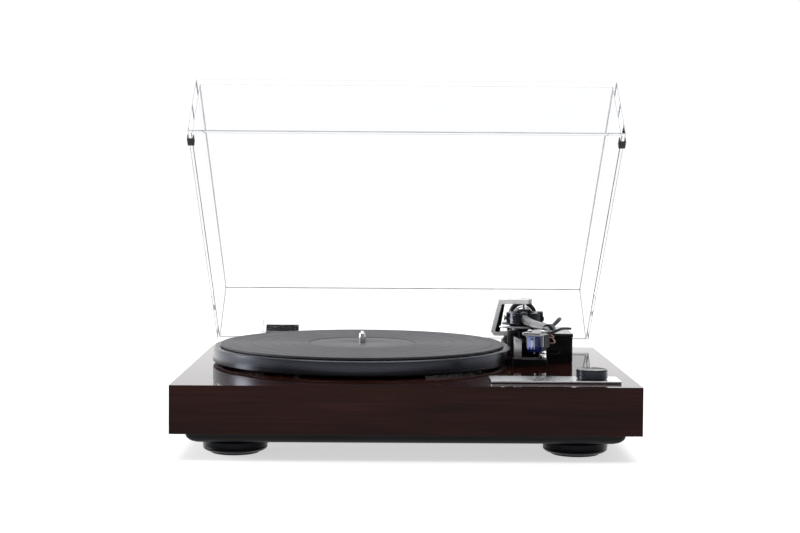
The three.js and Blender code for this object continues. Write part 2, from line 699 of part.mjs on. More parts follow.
// ---- cueing: box, lever, damped cylinder and curved lift rail
function cueBox() {
  const outline = roundedRectangle([CUE_BOX.left, CUE_BOX.right], [CUE_BOX.front, CUE_BOX.back], 2);
  const body = extruded(outline, [GAP, CUE_BOX.top]);
  const slot = block([LEVER.x - 2.6, LEVER.x + 2.6], [LEVER.y - 9, LEVER.y + 11],
    [LEVER.z - 8, CUE_BOX.top + 1]);
  // Room for the handle, which leans to the right as the lever comes back.
  const handleRoom = block([LEVER.x - 2.6, LEVER.x + 5.2], [LEVER.y - 3, LEVER.y + 14],
    [LEVER.z + 0.5, CUE_BOX.top + 1]);
  return cut(body, slot, handleRoom);
}

function cueLever() {
  const hub = alongX(rod(LEVER.hub, [-2.2, 2.2], 20));
  const stem = rod(LEVER.rod, [4, 9], 12);
  const start = new THREE.Vector3(0, 0, 8);
  const end = new THREE.Vector3(LEVER.tipX - LEVER.x, 0, LEVER.tipZ - LEVER.z);
  const section = new THREE.Shape().absarc(0, 0, LEVER.rod, 0, 2 * Math.PI);
  const handle = new THREE.ExtrudeGeometry(section, {
    steps: 1, curveSegments: 10, extrudePath: new THREE.LineCurve3(start, end),
  });
  return join(hub, stem, handle);
}

function cueCylinder() {
  return cut(rod(CUE.radius, [GAP, CUE.top], 24), rod(1.8, [8, CUE.top + 1]));
}

// The rail is an arc about the tonearm's pivot, on a rod that slides in the cylinder.
function cueRail() {
  const outline = new THREE.Shape();
  const from = THREE.MathUtils.degToRad(-142);
  const to = THREE.MathUtils.degToRad(-84);
  outline.absarc(ARM.x, ARM.y, CUE.arcRadius + 1.6, from, to);
  outline.absarc(ARM.x, ARM.y, CUE.arcRadius - 1.6, to, from, true);
  const rail = extruded(outline, [CUE.arcTop - 2, CUE.arcTop]);
  const post = rod(1.5, [9, CUE.arcTop - 1], 12).translate(CUE.x, CUE.y, 0);
  return join(rail, post);
}

add(deck, 'cue_box', cueBox(), glossBlack);
add(deck, 'cue_lever', cueLever(), chrome, [LEVER.x, LEVER.y, LEVER.z]);
add(deck, 'cue_cylinder', cueCylinder(), blackPlastic, [CUE.x, CUE.y, 0]);
add(deck, 'cue_rail', cueRail(), aluminium);

// ---- arm rest: base, silver upright, cradle and swinging clip
function restUpright() {
  const bottom = REST.top + GAP;
  return upright([[107.5, bottom], [115, bottom], [115, 25], [107.5, 29]], [161.5, 165]);
}

// The base block and the post that carries the saddle under the tube and the clip's pin.
function restCradle() {
  const outline = roundedRectangle([REST.left, REST.right], [REST.front, REST.back], 2);
  const post = upright([
    [133.4, REST.top - 1], [139.4, REST.top - 1], [139.4, 20], [144, 22], [144, 32],
    [141.8, 39.5], [139.2, 39.5], [139.2, REST.saddle], [125.5, REST.saddle], [124, 30], [133.4, 25],
  ], [167, 176]);
  const pin = alongY(rod(CLIP.pin, [175, 179.6])).translate(CLIP.x, 0, CLIP.z);
  return join(extruded(outline, [GAP, REST.top]), post, pin);
}

function restClip() {
  const { rise, reach } = CLIP;
  const clip = upright([
    [-2.4, -2.6], [2.4, -2.6], [2.4, 2.6], [1.6, 5], [1.6, rise + 2.4], [-reach, rise + 2.4],
    [-reach - 2, rise - 1.6], [-reach + 0.4, rise - 1.6], [-reach + 1, rise], [-1.6, rise],
    [-1.6, 5], [-2.4, 2.6],
  ], [-1.4, 1.4]);
  const hole = alongY(rod(CLIP.pin + GAP, [-2, 2]));
  return cut(clip, hole).rotateY(THREE.MathUtils.degToRad(CLIP.open));
}

add(deck, 'rest_upright', restUpright(), steel);
add(deck, 'rest_cradle', restCradle(), blackPlastic);
add(deck, 'rest_clip', restClip(), blackPlastic, [CLIP.x, CLIP.y, CLIP.z]);

// ---- anti-skate dial
function skateKnob() {
  const body = turned([
    [0, GAP], [SKATE.radius, GAP], [SKATE.radius, SKATE.skirt],
    [SKATE.radius - 1.5, SKATE.skirt + 0.8], [SKATE.radius - 1.5, SKATE.top - 0.8],
    [SKATE.radius - 2.3, SKATE.top], [0, SKATE.top],
  ], 24);
  const pointer = block([-0.5, 0.5], [-7.5, -3], [SKATE.top - 0.5, SKATE.top + 1]);
  return cut(body, pointer);
}

add(deck, 'skate_knob', skateKnob(), blackMetal, [SKATE.x, SKATE.y, 0]);

const recordPlayer = new THREE.Group();
recordPlayer.add(deck);
export default recordPlayer;
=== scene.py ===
"""Record player: detailed meshes, finishes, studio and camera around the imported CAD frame."""

import math

import bmesh
import bpy
from mathutils import Matrix, Vector


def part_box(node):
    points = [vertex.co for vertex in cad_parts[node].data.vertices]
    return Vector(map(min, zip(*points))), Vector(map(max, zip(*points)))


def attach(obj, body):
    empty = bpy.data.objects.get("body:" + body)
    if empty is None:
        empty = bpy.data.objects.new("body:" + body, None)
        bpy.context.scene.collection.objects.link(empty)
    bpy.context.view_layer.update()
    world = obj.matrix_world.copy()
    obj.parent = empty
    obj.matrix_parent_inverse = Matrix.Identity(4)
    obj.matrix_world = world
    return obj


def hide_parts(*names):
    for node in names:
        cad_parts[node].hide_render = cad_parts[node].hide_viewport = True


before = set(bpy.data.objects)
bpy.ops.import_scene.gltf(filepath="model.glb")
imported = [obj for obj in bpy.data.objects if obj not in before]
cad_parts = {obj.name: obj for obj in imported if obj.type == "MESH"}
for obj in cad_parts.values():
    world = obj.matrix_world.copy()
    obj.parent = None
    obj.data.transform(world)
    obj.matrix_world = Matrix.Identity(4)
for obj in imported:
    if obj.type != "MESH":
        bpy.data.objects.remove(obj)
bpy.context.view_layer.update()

# ------------------------------------------------------------------ places
# Shapes are written in millimetres in the deck's frame: its origin is the middle of the
# plinth's top front edge, X right, Y back, Z up.
MM = 0.001
plinth_low, plinth_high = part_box("plinth")
ORIGIN = Vector(((plinth_low.x + plinth_high.x) / 2, plinth_low.y, plinth_high.z))

SPINDLE = (-42.4, 192.5)
KNOB = (169.3, 43.6)
ARM = (128.6, 296.0)
PIVOT_Z = 36.5
ARM_REST = 2.24
SHELL_OFFSET = 22.0
SHELL_BACK = 45.0
ARM_REACH = 219.0
SHELL_Z = 40.2
PLINTH_HALF = 209.5
PLINTH_DEPTH = 349
TRAY_BOTTOM = -53.5
TRAY_CORNER = 6.0
FLOOR_Z = -67.3
FOOT_X = 155.6
FOOT_FRONT, FOOT_BACK = 52, 297
CUE_CYLINDER = (115, 265)
SKATE_DIAL = (158, 316)
REST_STUD = (136.4, 163.6)
JACK_Z = -23.5

UP = Matrix.Identity(4)


def shift(x, y, z):
    return Matrix.Translation((x, y, z))


def turn(degrees, axis):
    return Matrix.Rotation(math.radians(degrees), 4, axis)


DECK = UP
ARM_AT = shift(*ARM, 0) @ turn(-ARM_REST, "Z")
shell_angle = math.radians(SHELL_OFFSET)
SHELL_AT = (
    ARM_AT
    @ shift(
        SHELL_BACK * math.sin(shell_angle),
        SHELL_BACK * math.cos(shell_angle) - ARM_REACH,
        SHELL_Z,
    )
    @ turn(-SHELL_OFFSET, "Z")
)
ALONG_X = turn(90, "Y")
ALONG_Y = turn(-90, "X")


# ------------------------------------------------------------------ materials
class Graph:
    """A procedural material: a Principled shader and the texture nodes that feed it."""

    def __init__(self, name, **constants):
        self.material = bpy.data.materials.new(name)
        self.material.use_nodes = True
        self.tree = self.material.node_tree
        self.shader = self.tree.nodes["Principled BSDF"]
        for socket, value in constants.items():
            self.shader.inputs[socket.replace("_", " ")].default_value = value

    def node(self, kind, settings=None, **inputs):
        made = self.tree.nodes.new("ShaderNode" + kind)
        for key, value in (settings or {}).items():
            setattr(made, key, value)
        for key, value in inputs.items():
            socket = made.inputs[key.replace("_", " ")]
            if isinstance(value, bpy.types.NodeSocket):
                self.tree.links.new(value, socket)
            else:
                socket.default_value = value
        return made

    def link(self, source, socket):
        self.tree.links.new(source, self.shader.inputs[socket])

    def ramp(self, source, low, high, start=0.3, end=0.7):
        made = self.tree.nodes.new("ShaderNodeValToRGB")
        first, last = made.color_ramp.elements
        first.position, last.position = start, end
        first.color, last.color = (*low, 1), (*high, 1)
        self.tree.links.new(source, made.inputs[0])
        return made.outputs[0]

    def spread(self, source, low, high):
        made = self.node("MapRange", Value=source, To_Min=low, To_Max=high)
        return made.outputs[0]

    def relief(self, height, strength, distance):
        made = self.node("Bump", Height=height, Strength=strength, Distance=distance)
        self.link(made.outputs[0], "Normal")

    def place(self):
        return self.node("TexCoord").outputs["Object"]


END_FACING = 0.7  # how far a face turns towards X before it counts as a plinth's end


def noise(graph, vector, scale, detail=3.0, distortion=0.0):
    made = graph.node("TexNoise", Vector=vector, Scale=scale, Detail=detail)
    made.inputs["Distortion"].default_value = distortion
    return made.outputs[0]


def stretched(graph, vector, scale):
    return graph.node("Mapping", Vector=vector, Scale=scale).outputs[0]


def rings(graph, pitch):
    """Fine turned lines: they run round the object's own Z axis, on flat and upright faces."""
    parts = graph.node("SeparateXYZ", Vector=graph.place())
    flat = graph.node("CombineXYZ", X=parts.outputs[0], Y=parts.outputs[1], Z=0.0)
    radius = graph.node("VectorMath", {"operation": "LENGTH"}, Vector=flat.outputs[0])
    total = graph.node("Math", {"operation": "ADD"})
    graph.tree.links.new(radius.outputs["Value"], total.inputs[0])
    graph.tree.links.new(parts.outputs[2], total.inputs[1])
    along = graph.node("Math", {"operation": "MULTIPLY"})
    graph.tree.links.new(total.outputs[0], along.inputs[0])
    along.inputs[1].default_value = 1 / (pitch * MM)
    lines = graph.node("TexNoise", {"noise_dimensions": "1D"}, W=along.outputs[0], Scale=1.0)
    return lines.outputs[0]


def wood():
    """Dark red-brown veneer under a clear glossy lacquer."""
    graph = Graph(
        "lacquered_wood", IOR=1.45, Coat_Weight=1.0, Coat_Roughness=0.03, Coat_IOR=1.16,
        Specular_IOR_Level=0.0,
    )
    place = graph.place()
    # The grain follows the length of each side: along X on top and in front, along Y on the ends.
    parts = graph.node("SeparateXYZ", Vector=place)
    swapped = graph.node(
        "CombineXYZ", X=parts.outputs[1], Y=parts.outputs[0], Z=parts.outputs[2]
    )
    facing = graph.node("SeparateXYZ", Vector=graph.node("TexCoord").outputs["Normal"])
    sideways = graph.node("Math", {"operation": "ABSOLUTE"})
    graph.tree.links.new(facing.outputs[0], sideways.inputs[0])
    is_end = graph.node("Math", {"operation": "GREATER_THAN"})
    graph.tree.links.new(sideways.outputs[0], is_end.inputs[0])
    is_end.inputs[1].default_value = END_FACING
    choose = graph.tree.nodes.new("ShaderNodeMix")
    choose.data_type = "VECTOR"
    graph.tree.links.new(is_end.outputs[0], choose.inputs[0])
    graph.tree.links.new(place, choose.inputs[4])
    graph.tree.links.new(swapped.outputs[0], choose.inputs[5])
    along = choose.outputs[1]
    figure = noise(graph, stretched(graph, along, (3, 14, 34)), 1.6, 4, 0.6)
    fibres = noise(graph, stretched(graph, along, (9, 420, 520)), 1.0, 5, 0.2)
    broad = graph.ramp(figure, (0.0115, 0.0034, 0.0028), (0.030, 0.0085, 0.0062), 0.28, 0.76)
    fine = graph.ramp(fibres, (0.55, 0.52, 0.5), (1.0, 1.0, 1.0), 0.35, 0.62)
    mixed = graph.tree.nodes.new("ShaderNodeMix")
    mixed.data_type = "RGBA"
    mixed.blend_type = "MULTIPLY"
    mixed.inputs[0].default_value = 0.8
    graph.tree.links.new(broad, mixed.inputs[6])
    graph.tree.links.new(fine, mixed.inputs[7])
    graph.link(mixed.outputs[2], "Base Color")
    graph.link(graph.spread(fibres, 0.5, 0.7), "Roughness")
    graph.relief(fibres, 0.05, 0.0002)
    return graph.material


def moulded(name, low, high, roughness, grain=900.0, relief=0.05, **constants):
    """Moulded plastic or rubber: slight colour drift and a fine textured skin."""
    graph = Graph(name, **constants)
    place = graph.place()
    drift = noise(graph, place, 22, 4)
    skin = noise(graph, place, grain, 2)
    graph.link(graph.ramp(drift, low, high), "Base Color")
    graph.link(graph.spread(skin, roughness * 0.85, roughness * 1.15), "Roughness")
    graph.relief(skin, relief, 0.0003)
    return graph.material


def turned_metal(name, low, high, roughness, pitch=0.5, relief=0.08, **constants):
    """Metal cut on a lathe: fine rings in its sheen round the piece's own axis."""
    graph = Graph(name, Metallic=1.0, **constants)
    lines = rings(graph, pitch)
    graph.link(graph.ramp(lines, low, high), "Base Color")
    graph.link(graph.spread(lines, roughness * 0.8, roughness * 1.25), "Roughness")
    graph.relief(lines, relief, 0.0002)
    return graph.material


def brushed_metal(name, low, high, roughness, scale=(8, 900, 900), relief=0.05, **constants):
    """Metal with fine straight brush lines along X."""
    graph = Graph(name, Metallic=1.0, **constants)
    lines = noise(graph, stretched(graph, graph.place(), scale), 1.0, 3)
    graph.link(graph.ramp(lines, low, high), "Base Color")
    graph.link(graph.spread(lines, roughness * 0.8, roughness * 1.25), "Roughness")
    graph.relief(lines, relief, 0.0002)
    return graph.material


def acrylic():
    """Clear sheet with a faint haze, as thin as the cover's walls."""
    graph = Graph("clear_acrylic", Transmission_Weight=1.0, IOR=1.07)
    place = graph.place()
    haze = noise(graph, place, 9, 3)
    graph.link(graph.ramp(haze, (0.982, 0.986, 0.992), (0.990, 0.993, 0.997)), "Base Color")
    graph.link(graph.spread(noise(graph, place, 60, 3), 0.0, 0.012), "Roughness")
    return graph.material


def acrylic_edge():
    """The sawn and polished edges of the acrylic, which look grey against a pale room."""
    graph = Graph("acrylic_edge", Transmission_Weight=0.55, IOR=1.1)
    streaks = noise(graph, stretched(graph, graph.place(), (40, 40, 40)), 1.0, 3)
    graph.link(graph.ramp(streaks, (0.24, 0.25, 0.29), (0.46, 0.47, 0.51)), "Base Color")
    graph.link(graph.spread(streaks, 0.25, 0.45), "Roughness")
    return graph.material


def mat_rubber():
    """Matt grey-black rubber with fine turned lines."""
    graph = Graph("mat_rubber", Specular_IOR_Level=0.3, Sheen_Weight=0.05, Sheen_Roughness=0.5)
    lines = rings(graph, 0.7)
    specks = noise(graph, graph.place(), 700, 3)
    graph.link(graph.ramp(specks, (0.024, 0.024, 0.029), (0.037, 0.037, 0.044)), "Base Color")
    graph.link(graph.spread(lines, 0.42, 0.58), "Roughness")
    graph.relief(lines, 0.12, 0.0003)
    return graph.material


def board():
    """Green circuit board with a pattern of darker tracks."""
    graph = Graph("circuit_board", Coat_Weight=0.4, Coat_Roughness=0.2)
    cells = graph.node(
        "TexVoronoi", {"feature": "F1", "distance": "CHEBYCHEV"},
        Vector=graph.place(), Scale=260.0,
    ).outputs[0]
    graph.link(graph.ramp(cells, (0.01, 0.06, 0.02), (0.02, 0.13, 0.05), 0.1, 0.5), "Base Color")
    graph.link(graph.spread(cells, 0.3, 0.6), "Roughness")
    return graph.material


WOOD = wood()
PLASTIC = moulded(
    "black_plastic", (0.006, 0.006, 0.007), (0.011, 0.011, 0.012), 0.45, IOR=1.14
)
CARTRIDGE_PLASTIC = moulded(
    "cartridge_plastic", (0.003, 0.004, 0.010), (0.005, 0.007, 0.018), 0.35, IOR=1.09
)
TRAY_PLASTIC = moulded(
    "tray_plastic", (0.003, 0.0031, 0.004), (0.006, 0.0062, 0.0075), 0.45, Specular_IOR_Level=0.12
)
FOOT_PAD = moulded("foot_rubber", (0.008, 0.008, 0.008), (0.014, 0.014, 0.014), 0.8, 1400)
FOOT_BODY = turned_metal(
    "foot_anodised", (0.006, 0.0064, 0.0076), (0.011, 0.0116, 0.0132), 0.3, 0.9
)
RUBBER = moulded("bumper_rubber", (0.006, 0.006, 0.006), (0.010, 0.010, 0.010), 0.7, 1400)
BELT = moulded("belt_rubber", (0.008, 0.008, 0.008), (0.014, 0.014, 0.014), 0.7, 1400)
MAT = mat_rubber()
ANODISED = turned_metal("black_anodised", (0.022, 0.023, 0.028), (0.040, 0.042, 0.050), 0.26, 0.6)
PLATTER_METAL = turned_metal(
    "platter_anodised", (0.034, 0.036, 0.044), (0.052, 0.055, 0.066), 0.25, 0.6, 0.05
)
PLATE_METAL = brushed_metal("plate_brushed", (0.56, 0.56, 0.59), (0.68, 0.68, 0.715), 0.24)
ANODISED_FLAT = brushed_metal(
    "black_brushed", (0.030, 0.031, 0.034), (0.055, 0.056, 0.062), 0.38
)
GLOSS = moulded(
    "gloss_black", (0.003, 0.003, 0.0036), (0.0055, 0.0055, 0.0064), 0.3, 500, 0.02,
    Coat_Weight=1.0, Coat_Roughness=0.06, Coat_IOR=1.2, Specular_IOR_Level=0.05,
)
STEEL = turned_metal("steel", (0.52, 0.53, 0.55), (0.66, 0.67, 0.69), 0.2, 0.25)
CHROME = brushed_metal("chrome", (0.78, 0.79, 0.81), (0.9, 0.9, 0.92), 0.1, (30, 300, 300), 0.02)
ALUMINIUM = brushed_metal("aluminium", (0.5, 0.5, 0.52), (0.64, 0.64, 0.66), 0.28)
SATIN = moulded(
    "satin_aluminium", (0.165, 0.165, 0.178), (0.21, 0.21, 0.226), 0.26, 1600, 0.03, Metallic=1.0
)
BRASS = turned_metal("brass", (0.62, 0.42, 0.16), (0.78, 0.56, 0.25), 0.25, 0.3)
ACRYLIC = acrylic()
ACRYLIC_EDGE = acrylic_edge()
# Painted reflection: the chrome bridge frame is drawn as a near-white satin finish, its colour
# standing in for the white room it reflects.
CHROME_PAINTED_WHITE = moulded(
    "chrome_painted_reflection", (0.9, 0.9, 0.91), (0.95, 0.95, 0.96), 0.35, 1200, 0.02, Metallic=0.05
)
BLUE = moulded(
    "blue_plastic", (0.002, 0.006, 0.055), (0.004, 0.011, 0.09), 0.16, 300, 0.01,
    Coat_Weight=0.6, Coat_Roughness=0.04, Coat_IOR=1.3, Specular_IOR_Level=0.2,
)
PALE_BLUE = moulded(
    "pale_blue_plastic", (0.2, 0.27, 0.62), (0.36, 0.43, 0.78), 0.14, 300, 0.01,
    Coat_Weight=0.8, Coat_Roughness=0.04,
)
TAB_PLASTIC = moulded("tab_plastic", (0.1, 0.1, 0.075), (0.16, 0.16, 0.12), 0.35)
WHITE_INK = moulded("white_ink", (0.62, 0.62, 0.62), (0.75, 0.75, 0.75), 0.5)
LEAD_WIRE = moulded("lead_wire", (0.16, 0.07, 0.05), (0.3, 0.16, 0.12), 0.4, 900)
BOARD = board()


# ------------------------------------------------------------------ mesh building
TINY = 1e-9
STRAIGHT = math.radians(172)  # corners that are flatter than this are left as they are
CORNER_SHARE = 0.48  # how much of each neighbouring side a rounded corner may take


def rounded(points, radius, steps=3, closed=False):
    """A polyline of [a, b] points with its corners rounded off."""
    count = len(points)
    result = []
    for i, (x, y) in enumerate(points):
        if not closed and i in (0, count - 1):
            result.append((x, y))
            continue
        here = Vector((x, y))
        before = Vector(points[i - 1]) - here
        after = Vector(points[(i + 1) % count]) - here
        too_close = before.length < TINY or after.length < TINY
        if too_close or before.angle(after) > STRAIGHT:
            result.append((x, y))
            continue
        back = min(
            radius / math.tan(before.angle(after) / 2),
            before.length * CORNER_SHARE, after.length * CORNER_SHARE,
        )
        start, finish = here + before.normalized() * back, here + after.normalized() * back
        for k in range(steps + 1):
            t = k / steps
            spot = start * (1 - t) ** 2 + here * (2 * t * (1 - t)) + finish * t ** 2
            result.append((spot.x, spot.y))
    return result


def lathe(profile, sides=96):
    """The profile of [radius, height] points turned round Z."""
    verts, columns = [], []
    for radius, height in profile:
        if abs(radius) < TINY:
            columns.append([len(verts)] * sides)
            verts.append((0, 0, height))
            continue
        column = []
        for k in range(sides):
            angle = math.radians(360.0 * k / sides)
            column.append(len(verts))
            verts.append((radius * math.cos(angle), radius * math.sin(angle), height))
        columns.append(column)
    faces = []
    for one, two in zip(columns, columns[1:]):
        for k in range(sides):
            n = (k + 1) % sides
            face = []
            for index in (one[k], one[n], two[n], two[k]):
                if index not in face:
                    face.append(index)
            if len(face) > 2:
                faces.append(face)
    return verts, faces


def loop_lathe(profile, sides=96):
    """A closed profile, such as a ring's section, turned round Z."""
    return lathe([*profile, profile[0]], sides)


def prism(outline, low, high):
    """An outline of [x, y] points, closed at both heights."""
    count = len(outline)
    verts = [(x, y, low) for x, y in outline] + [(x, y, high) for x, y in outline]
    faces = [list(reversed(range(count))), list(range(count, 2 * count))]
    faces += [[k, (k + 1) % count, count + (k + 1) % count, count + k] for k in range(count)]
    return verts, faces


def box(x, y, z):
    outline = [(x[0], y[0]), (x[1], y[0]), (x[1], y[1]), (x[0], y[1])]
    return prism(outline, *z)


def upright(outline, y):
    """An outline of [x, z] points standing upright between y[0] and y[1]."""
    verts, faces = prism(outline, *y)
    return [(x, depth, z) for x, z, depth in verts], faces


def pill(x, y, radius, steps=6):
    """A rectangle's outline with rounded corners."""
    outline = [(x[0], y[0]), (x[1], y[0]), (x[1], y[1]), (x[0], y[1])]
    return rounded(outline, radius, steps, closed=True)


def loft(loops):
    """A closed skin through matching outlines at rising heights."""
    count = len(loops[0][1])
    verts = [(x, y, z) for z, outline in loops for x, y in outline]
    faces = [list(reversed(range(count)))]
    for i in range(len(loops) - 1):
        low, high = i * count, (i + 1) * count
        for k in range(count):
            n = (k + 1) % count
            faces.append([low + k, low + n, high + n, high + k])
    faces.append([(len(loops) - 1) * count + k for k in range(count)])
    return verts, faces


def placed(geometry, matrix):
    verts, faces = geometry
    return [tuple(matrix @ Vector(v)) for v in verts], faces


def merged(*geometries):
    verts, faces = [], []
    for more_verts, more_faces in geometries:
        offset = len(verts)
        verts += more_verts
        faces += [[index + offset for index in face] for face in more_faces]
    return verts, faces


def sweep(path, radius, sides=20):
    """A round bar along a path. radius is a number, or one number for each point."""
    points = [Vector(p) for p in path]
    count = len(points)
    radii = radius if isinstance(radius, (list, tuple)) else [radius] * count
    normal = None
    verts, faces = [], []
    for i, point in enumerate(points):
        ahead = points[min(i + 1, count - 1)] - points[max(i - 1, 0)]
        ahead.normalize()
        if normal is None:
            guide = Vector((0, 0, 1)) if abs(ahead.z) < 0.9 else Vector((0, 1, 0))
            normal = guide - ahead * guide.dot(ahead)
        else:
            normal = normal - ahead * normal.dot(ahead)
        normal.normalize()
        across = ahead.cross(normal)
        for k in range(sides):
            angle = 2 * math.pi * k / sides
            offset = across * math.cos(angle) + normal * math.sin(angle)
            verts.append(tuple(point + offset * radii[i]))
    for i in range(count - 1):
        for k in range(sides):
            n = (k + 1) % sides
            faces.append([i * sides + k, i * sides + n, (i + 1) * sides + n, (i + 1) * sides + k])
    faces.append(list(reversed(range(sides))))
    faces.append([(count - 1) * sides + k for k in range(sides)])
    return verts, faces


def arc(radius, start, sweep_angle, steps=40):
    """Points on a circle round the origin, from the start angle on, in degrees."""
    angles = [math.radians(start + sweep_angle * k / steps) for k in range(steps + 1)]
    return [(radius * math.cos(angle), radius * math.sin(angle)) for angle in angles]


def bezier(a, b, c, d, steps):
    a, b, c, d = Vector(a), Vector(b), Vector(c), Vector(d)
    made = []
    for k in range(steps + 1):
        t = k / steps
        s = 1 - t
        made.append(a * s ** 3 + b * (3 * s * s * t) + c * (3 * s * t * t) + d * t ** 3)
    return made


# A face with more than this area in square metres is shaded flat, unless it is a thin strip:
# its area over its outline's length is then under WIDE_RATIO, in metres.
WIDE_FACE = 1e-4
WIDE_RATIO = 0.0025


def tidy_mesh(mesh, smooth):
    """Joins doubled points, turns the faces outwards and sets the shading."""
    cleaner = bmesh.new()
    cleaner.from_mesh(mesh)
    bmesh.ops.remove_doubles(cleaner, verts=cleaner.verts, dist=1e-7)
    bmesh.ops.recalc_face_normals(cleaner, faces=cleaner.faces)
    cleaner.to_mesh(mesh)
    cleaner.free()
    mesh.shade_smooth()
    mesh.set_sharp_from_angle(angle=math.radians(smooth))
    for face in mesh.polygons:
        corners = [mesh.vertices[index].co for index in face.vertices]
        around = sum((a - b).length for a, b in zip(corners, corners[1:] + corners[:1]))
        if face.area > WIDE_FACE and face.area / around > WIDE_RATIO:
            face.use_smooth = False


def evaluated(obj):
    """Applies what is on the object to its mesh."""
    graph = bpy.context.evaluated_depsgraph_get()
    mesh = bpy.data.meshes.new_from_object(obj.evaluated_get(graph))
    obj.modifiers.clear()
    obj.data = mesh


def new_object(name, geometry, at):
    verts, faces = geometry
    mesh = bpy.data.meshes.new(name)
    mesh.from_pydata([tuple(c * MM for c in v) for v in verts], [], faces)
    obj = bpy.data.objects.new(name, mesh)
    bpy.context.scene.collection.objects.link(obj)
    scaled = at.copy()
    scaled.translation = ORIGIN + at.translation * MM
    obj.matrix_world = scaled
    bpy.context.view_layer.update()
    return obj


def boolean(obj, geometry, operation="DIFFERENCE"):
    """Cuts the geometry out of the piece, or joins it on, in the piece's own frame."""
    tool = new_object("tool", geometry, DECK)
    tool.matrix_world = obj.matrix_world
    bpy.context.view_layer.update()
    step = obj.modifiers.new("step", "BOOLEAN")
    step.operation = operation
    step.solver = "EXACT"
    step.object = tool
    evaluated(obj)
    bpy.data.objects.remove(tool)


def bevel(obj, width, segments=3, angle=35.0, material=-1):
    step = obj.modifiers.new("bevel", "BEVEL")
    step.width = width * MM
    step.segments = segments
    step.limit_method = "ANGLE"
    step.angle_limit = math.radians(angle)
    step.use_clamp_overlap = True
    step.material = material
    evaluated(obj)


def finish_piece(obj, body, material, replaces=(), smooth=32.0, edge_look=None):
    """Shades the piece, hangs it on its body and hides the CAD parts it replaces."""
    tidy_mesh(obj.data, smooth)
    if edge_look is None:
        obj.data.materials.clear()
        obj.data.materials.append(material)
    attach(obj, body)
    if replaces:
        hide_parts(*replaces)


def piece(
    name, geometry, body, material, at=DECK, replaces=(), edge=0.0, segments=3,
    smooth=32.0, cuts=(), joins=(), angle=35.0,
):
    """One new piece of the object, built in the frame that at gives."""
    obj = new_object(name, geometry, at)
    for more in joins:
        boolean(obj, more, "UNION")
    for hole in cuts:
        boolean(obj, hole)
    if edge:
        bevel(obj, edge, segments, angle)
    finish_piece(obj, body, material, replaces, smooth)


def from_node(name, node, body, material, edge, segments=3, edge_look=None):
    """A new piece on the CAD node's own shape, with its flat faces cleaned and edges rounded."""
    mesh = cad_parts[node].data.copy()
    mesh.name = name
    cleaner = bmesh.new()
    cleaner.from_mesh(mesh)
    bmesh.ops.remove_doubles(cleaner, verts=cleaner.verts, dist=1e-6)
    bmesh.ops.dissolve_limit(
        cleaner, angle_limit=math.radians(1.5), verts=cleaner.verts, edges=cleaner.edges
    )
    cleaner.to_mesh(mesh)
    cleaner.free()
    obj = bpy.data.objects.new(name, mesh)
    bpy.context.scene.collection.objects.link(obj)
    obj.matrix_world = shift(*ORIGIN)
    mesh.transform(shift(*(-ORIGIN)))
    bpy.context.view_layer.update()
    if edge_look:
        mesh.materials.clear()
        mesh.materials.append(material)
        mesh.materials.append(edge_look)
        for face in mesh.polygons:
            face.material_index = 0
        bevel(obj, edge, segments, material=1)
    else:
        bevel(obj, edge, segments)
    finish_piece(obj, body, material, (node,), edge_look=edge_look)


def carried(node, material):
    """A CAD node that stays as it is, with a better material."""
    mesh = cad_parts[node].data
    mesh.materials.clear()
    mesh.materials.append(material)


# ------------------------------------------------------------------ camera
LENS, SENSOR = 70.92, 36.0
CAMERA_AT = (-15.99, -1381.8, 177.4)
PITCH, YAW, ROLL = 0.0517, 0.007, 0.0067  # radians

forward = Vector((
    math.sin(YAW) * math.cos(PITCH), math.cos(YAW) * math.cos(PITCH), -math.sin(PITCH)
))
level = Vector((math.cos(YAW), -math.sin(YAW), 0))
above = level.cross(forward)
camera_x = level * math.cos(ROLL) + above * math.sin(ROLL)
camera_y = above * math.cos(ROLL) - level * math.sin(ROLL)
camera_data = bpy.data.cameras.new("camera")
camera_data.lens = LENS
camera_data.sensor_width = SENSOR
camera_data.sensor_fit = "HORIZONTAL"
camera_data.clip_start = 0.05
camera_data.clip_end = 100
camera = bpy.data.objects.new("camera", camera_data)
bpy.context.scene.collection.objects.link(camera)
pose = Matrix((camera_x, camera_y, -forward)).transposed().to_4x4()
pose.translation = ORIGIN + Vector(CAMERA_AT) * MM
camera.matrix_world = pose
bpy.context.scene.camera = camera

# ------------------------------------------------------------------ plinth, tray and feet
from_node("plinth_shell", "plinth", "base", WOOD, 0.9, 4)
tray_levels = (
    (-43.8, 12.2), (-46.0, 12.4), (-48.5, 13.2), (-50.5, 14.8), (-52.3, 17.2), (-53.5, 20.4),
)
tray_loops = [
    (z, pill((inset - PLINTH_HALF, PLINTH_HALF - inset), (inset, PLINTH_DEPTH - inset),
             TRAY_CORNER, 5))
    for z, inset in reversed(tray_levels)
]
piece("tray_shell", loft(tray_loops), "base", TRAY_PLASTIC,
      replaces=("base_tray",), smooth=40)

